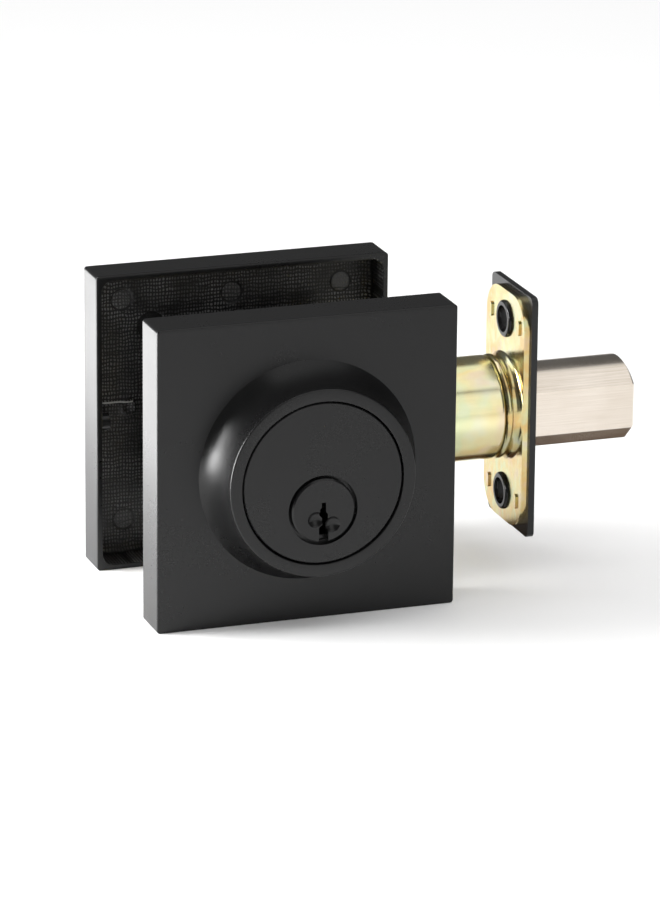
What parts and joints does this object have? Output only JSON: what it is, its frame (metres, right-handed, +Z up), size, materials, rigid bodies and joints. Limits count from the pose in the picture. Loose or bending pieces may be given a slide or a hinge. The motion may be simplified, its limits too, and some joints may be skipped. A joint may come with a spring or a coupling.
{
  "type": "deadbolt door lock",
  "caption": "Square-rose tubular deadbolt: keyed cylinder outside, thumbturn inside, crank-driven bolt in a plated tubular latch with a faceplate.",
  "frame": {"origin": "where the bolt's axis meets the centreline of the door's cross bore, at half the door's thickness", "axes": "+X along the bolt towards the door's edge, +Y from the outside face to the inside face, +Z up"},
  "size_m": [0.1207, 0.0868, 0.07],
  "materials": {
    "satin_black": "satin black powder coat over die-cast zinc",
    "black_cylinder": "satin black electrophoretic coat over brass",
    "yellow_zinc": "yellow chromate zinc plated steel",
    "satin_nickel": "satin nickel plate",
    "pin_brass": "turned brass",
    "spring_steel": "drawn spring steel",
    "plated_steel": "zinc plated steel",
    "hard_steel": "hardened tool steel",
    "nylon": "moulded black nylon"
  },
  "bodies": {
    "lock_frame": {"exterior_rose": "satin_black", "cylinder_housing": "black_cylinder", "chamber_cover": "pin_brass", "pin_spring_1": "spring_steel", "pin_spring_2": "spring_steel", "pin_spring_3": "spring_steel", "pin_spring_4": "spring_steel", "pin_spring_5": "spring_steel", "interior_rose": "satin_black", "mounting_plate": "yellow_zinc", "mounting_bolts": "plated_steel", "cover_set_screw": "plated_steel", "thumbturn_bushing": "nylon", "wave_washer": "spring_steel", "faceplate": "satin_black", "backing_plate": "yellow_zinc", "latch_tube": "yellow_zinc", "tube_end_disc": "yellow_zinc", "chassis_plate_out": "yellow_zinc", "chassis_plate_in": "yellow_zinc", "chassis_rivets": "plated_steel", "detent_spring": "spring_steel"},
    "plug": {"plug": "black_cylinder", "plug_cap": "pin_brass", "cap_pin": "plated_steel", "cap_spring": "spring_steel"},
    "tailpiece": {"tailpiece": "plated_steel"},
    "thumbturn": {"thumbturn": "satin_black", "circlip": "spring_steel"},
    "crank": {"crank": "plated_steel", "crank_pin": "plated_steel"},
    "bolt": {"bolt": "satin_nickel", "bolt_tail": "plated_steel"},
    "hardened_pin": {"hardened_pin": "hard_steel"},
    "key_pin_1": {"key_pin_1": "pin_brass"},
    "driver_pin_1": {"driver_pin_1": "pin_brass"},
    "key_pin_2": {"key_pin_2": "pin_brass"},
    "driver_pin_2": {"driver_pin_2": "pin_brass"},
    "key_pin_3": {"key_pin_3": "pin_brass"},
    "driver_pin_3": {"driver_pin_3": "pin_brass"},
    "key_pin_4": {"key_pin_4": "pin_brass"},
    "driver_pin_4": {"driver_pin_4": "pin_brass"},
    "key_pin_5": {"key_pin_5": "pin_brass"},
    "driver_pin_5": {"driver_pin_5": "pin_brass"}
  },
  "joints": [
    {"name": "thumbturn_turn", "type": "hinge", "parent": "lock_frame", "child": "thumbturn", "pos_m": [0, 0, -0.0077], "axis": [0, -1, 0], "range_deg": [0, 90]},
    {"name": "tailpiece_turn", "type": "hinge", "parent": "lock_frame", "child": "tailpiece", "pos_m": [0, 0, -0.0077], "axis": [0, -1, 0], "range_deg": [0, 90]},
    {"name": "crank_turn", "type": "hinge", "parent": "lock_frame", "child": "crank", "pos_m": [0, 0, -0.0077], "axis": [0, -1, 0], "range_deg": [0, 90]},
    {"name": "bolt_slide", "type": "slide", "parent": "lock_frame", "child": "bolt", "axis": [1, 0, 0], "range_m": [-0.0254, 0]},
    {"name": "plug_turn", "type": "hinge", "parent": "lock_frame", "child": "plug", "pos_m": [0, 0, -0.0077], "axis": [0, -1, 0], "range_deg": [-90, 90]},
    {"name": "hardened_pin_spin", "type": "hinge", "parent": "bolt", "child": "hardened_pin", "pos_m": [0.067, 0, 0], "axis": [1, 0, 0], "continuous": true},
    {"name": "key_pin_1_drop", "type": "slide", "parent": "plug", "child": "key_pin_1", "axis": [0, 0, 1], "range_m": [-0.002, 0]},
    {"name": "driver_pin_1_lift", "type": "slide", "parent": "lock_frame", "child": "driver_pin_1", "axis": [0, 0, 1], "range_m": [0, 0.002], "stiffness_N_per_m": 150, "springref_m": -0.003, "deforming": ["pin_spring_1"]},
    {"name": "key_pin_2_drop", "type": "slide", "parent": "plug", "child": "key_pin_2", "axis": [0, 0, 1], "range_m": [-0.002, 0]},
    {"name": "driver_pin_2_lift", "type": "slide", "parent": "lock_frame", "child": "driver_pin_2", "axis": [0, 0, 1], "range_m": [0, 0.002], "stiffness_N_per_m": 150, "springref_m": -0.003, "deforming": ["pin_spring_2"]},
    {"name": "key_pin_3_drop", "type": "slide", "parent": "plug", "child": "key_pin_3", "axis": [0, 0, 1], "range_m": [-0.002, 0]},
    {"name": "driver_pin_3_lift", "type": "slide", "parent": "lock_frame", "child": "driver_pin_3", "axis": [0, 0, 1], "range_m": [0, 0.002], "stiffness_N_per_m": 150, "springref_m": -0.003, "deforming": ["pin_spring_3"]},
    {"name": "key_pin_4_drop", "type": "slide", "parent": "plug", "child": "key_pin_4", "axis": [0, 0, 1], "range_m": [-0.002, 0]},
    {"name": "driver_pin_4_lift", "type": "slide", "parent": "lock_frame", "child": "driver_pin_4", "axis": [0, 0, 1], "range_m": [0, 0.002], "stiffness_N_per_m": 150, "springref_m": -0.003, "deforming": ["pin_spring_4"]},
    {"name": "key_pin_5_drop", "type": "slide", "parent": "plug", "child": "key_pin_5", "axis": [0, 0, 1], "range_m": [-0.002, 0]},
    {"name": "driver_pin_5_lift", "type": "slide", "parent": "lock_frame", "child": "driver_pin_5", "axis": [0, 0, 1], "range_m": [0, 0.002], "stiffness_N_per_m": 150, "springref_m": -0.003, "deforming": ["pin_spring_5"]}
  ],
  "couplings": [
    {"joint": "thumbturn_turn", "follows": "bolt_slide", "rad_per_m": -61.842},
    {"joint": "tailpiece_turn", "follows": "bolt_slide", "rad_per_m": -61.842},
    {"joint": "crank_turn", "follows": "bolt_slide", "rad_per_m": -61.842}
  ]
}
